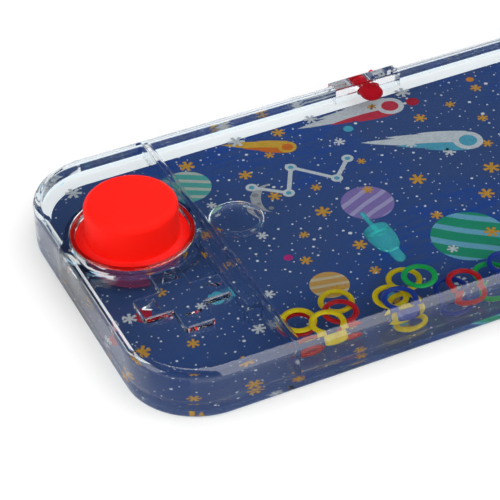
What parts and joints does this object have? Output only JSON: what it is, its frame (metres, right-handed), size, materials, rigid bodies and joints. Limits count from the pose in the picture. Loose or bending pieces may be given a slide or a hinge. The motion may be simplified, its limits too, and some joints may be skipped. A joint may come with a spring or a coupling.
{
  "type": "handheld water game",
  "caption": "Slim clear water-filled ring-toss game with round red hand pumps, raised pads, pegs, loose rings, a filler plug and a printed card behind.",
  "frame": {"origin": "middle of the flat back of the printed card, on which the game lies", "axes": "+X along the case from the left pump to the right pump, +Z out of the clear face, +Y towards the side with the filler plug, which is uppermost in play"},
  "size_m": [0.1966, 0.0893, 0.0217],
  "materials": {
    "clear_plastic": "clear, polished",
    "card": "printed card, satin",
    "soft_red": "soft, matt",
    "plug_rubber": "soft, satin",
    "teal_plastic": "clear tinted, polished",
    "red_ring": "satin",
    "yellow_ring": "satin",
    "green_ring": "satin",
    "blue_ring": "satin"
  },
  "bodies": {
    "case": {"front_shell": "clear_plastic", "filler_neck": "clear_plastic", "back_plate": "clear_plastic", "printed_card": "card", "left_retaining_ring": "clear_plastic", "left_pump_bellows": "soft_red", "left_peg": "teal_plastic", "right_retaining_ring": "clear_plastic", "right_pump_bellows": "soft_red", "right_peg": "teal_plastic"},
    "left_button": {"left_pump_button": "soft_red"},
    "right_button": {"right_pump_button": "soft_red"},
    "plug": {"filler_plug": "plug_rubber"},
    "ring_red_1": {"ring_red_1": "red_ring"},
    "ring_yellow_1": {"ring_yellow_1": "yellow_ring"},
    "ring_yellow_2": {"ring_yellow_2": "yellow_ring"},
    "ring_red_2": {"ring_red_2": "red_ring"},
    "ring_yellow_3": {"ring_yellow_3": "yellow_ring"},
    "ring_yellow_4": {"ring_yellow_4": "yellow_ring"},
    "ring_blue_1": {"ring_blue_1": "blue_ring"},
    "ring_yellow_5": {"ring_yellow_5": "yellow_ring"},
    "ring_yellow_6": {"ring_yellow_6": "yellow_ring"},
    "ring_green_1": {"ring_green_1": "green_ring"},
    "ring_blue_2": {"ring_blue_2": "blue_ring"},
    "ring_red_3": {"ring_red_3": "red_ring"},
    "ring_green_2": {"ring_green_2": "green_ring"},
    "ring_blue_3": {"ring_blue_3": "blue_ring"},
    "ring_red_4": {"ring_red_4": "red_ring"},
    "ring_blue_4": {"ring_blue_4": "blue_ring"},
    "ring_green_3": {"ring_green_3": "green_ring"},
    "ring_green_4": {"ring_green_4": "green_ring"}
  },
  "joints": [
    {"name": "left_pump_press", "type": "slide", "parent": "case", "child": "left_button", "axis": [0, 0, -1], "range_m": [0, 0.005], "stiffness_N_per_m": 1500, "deforming": ["left_pump_bellows"]},
    {"name": "right_pump_press", "type": "slide", "parent": "case", "child": "right_button", "axis": [0, 0, -1], "range_m": [0, 0.005], "stiffness_N_per_m": 1500, "deforming": ["right_pump_bellows"]},
    {"name": "filler_plug_pull", "type": "slide", "parent": "case", "child": "plug", "axis": [0, 1, 0], "range_m": [0, 0.012]},
    {"name": "ring_red_1_float", "type": "slide", "parent": "case", "child": "ring_red_1", "axis": [0, 1, 0], "range_m": [0, 0.042]},
    {"name": "ring_yellow_1_float", "type": "slide", "parent": "case", "child": "ring_yellow_1", "axis": [0, 1, 0], "range_m": [0, 0.036]},
    {"name": "ring_yellow_2_float", "type": "slide", "parent": "case", "child": "ring_yellow_2", "axis": [0, 1, 0], "range_m": [0, 0.044]},
    {"name": "ring_red_2_float", "type": "slide", "parent": "case", "child": "ring_red_2", "axis": [0, 1, 0], "range_m": [0, 0.05]},
    {"name": "ring_yellow_3_float", "type": "slide", "parent": "case", "child": "ring_yellow_3", "axis": [0, 1, 0], "range_m": [0, 0.038]},
    {"name": "ring_yellow_4_float", "type": "slide", "parent": "case", "child": "ring_yellow_4", "axis": [-0.1219, 0.9925, 0], "range_m": [0, 0.024]},
    {"name": "ring_blue_1_float", "type": "slide", "parent": "case", "child": "ring_blue_1", "axis": [-0.2079, 0.9781, 0], "range_m": [0, 0.045]},
    {"name": "ring_yellow_5_float", "type": "slide", "parent": "case", "child": "ring_yellow_5", "axis": [-1, 0, 0], "range_m": [0, 0.008]},
    {"name": "ring_yellow_6_float", "type": "slide", "parent": "case", "child": "ring_yellow_6", "axis": [1, 0, 0], "range_m": [0, 0.0026]},
    {"name": "ring_green_1_float", "type": "slide", "parent": "case", "child": "ring_green_1", "axis": [0.7547, 0.6561, 0], "range_m": [0, 0.03]},
    {"name": "ring_blue_2_float", "type": "slide", "parent": "case", "child": "ring_blue_2", "axis": [0.1564, 0.9877, 0], "range_m": [0, 0.03]},
    {"name": "ring_red_3_float", "type": "slide", "parent": "case", "child": "ring_red_3", "axis": [0.0698, 0.9976, 0], "range_m": [0, 0.034]},
    {"name": "ring_green_2_float", "type": "slide", "parent": "case", "child": "ring_green_2", "axis": [0, 1, 0], "range_m": [0, 0.04]},
    {"name": "ring_blue_3_float", "type": "slide", "parent": "case", "child": "ring_blue_3", "axis": [0, 1, 0], "range_m": [0, 0.046]},
    {"name": "ring_red_4_float", "type": "slide", "parent": "case", "child": "ring_red_4", "axis": [0, 1, 0], "range_m": [0, 0.044]},
    {"name": "ring_blue_4_float", "type": "slide", "parent": "case", "child": "ring_blue_4", "axis": [0, 1, 0], "range_m": [0, 0.04]},
    {"name": "ring_green_3_float", "type": "slide", "parent": "case", "child": "ring_green_3", "axis": [0, 1, 0], "range_m": [0, 0.036]},
    {"name": "ring_green_4_float", "type": "slide", "parent": "case", "child": "ring_green_4", "axis": [0, 1, 0], "range_m": [0, 0.048]}
  ]
}
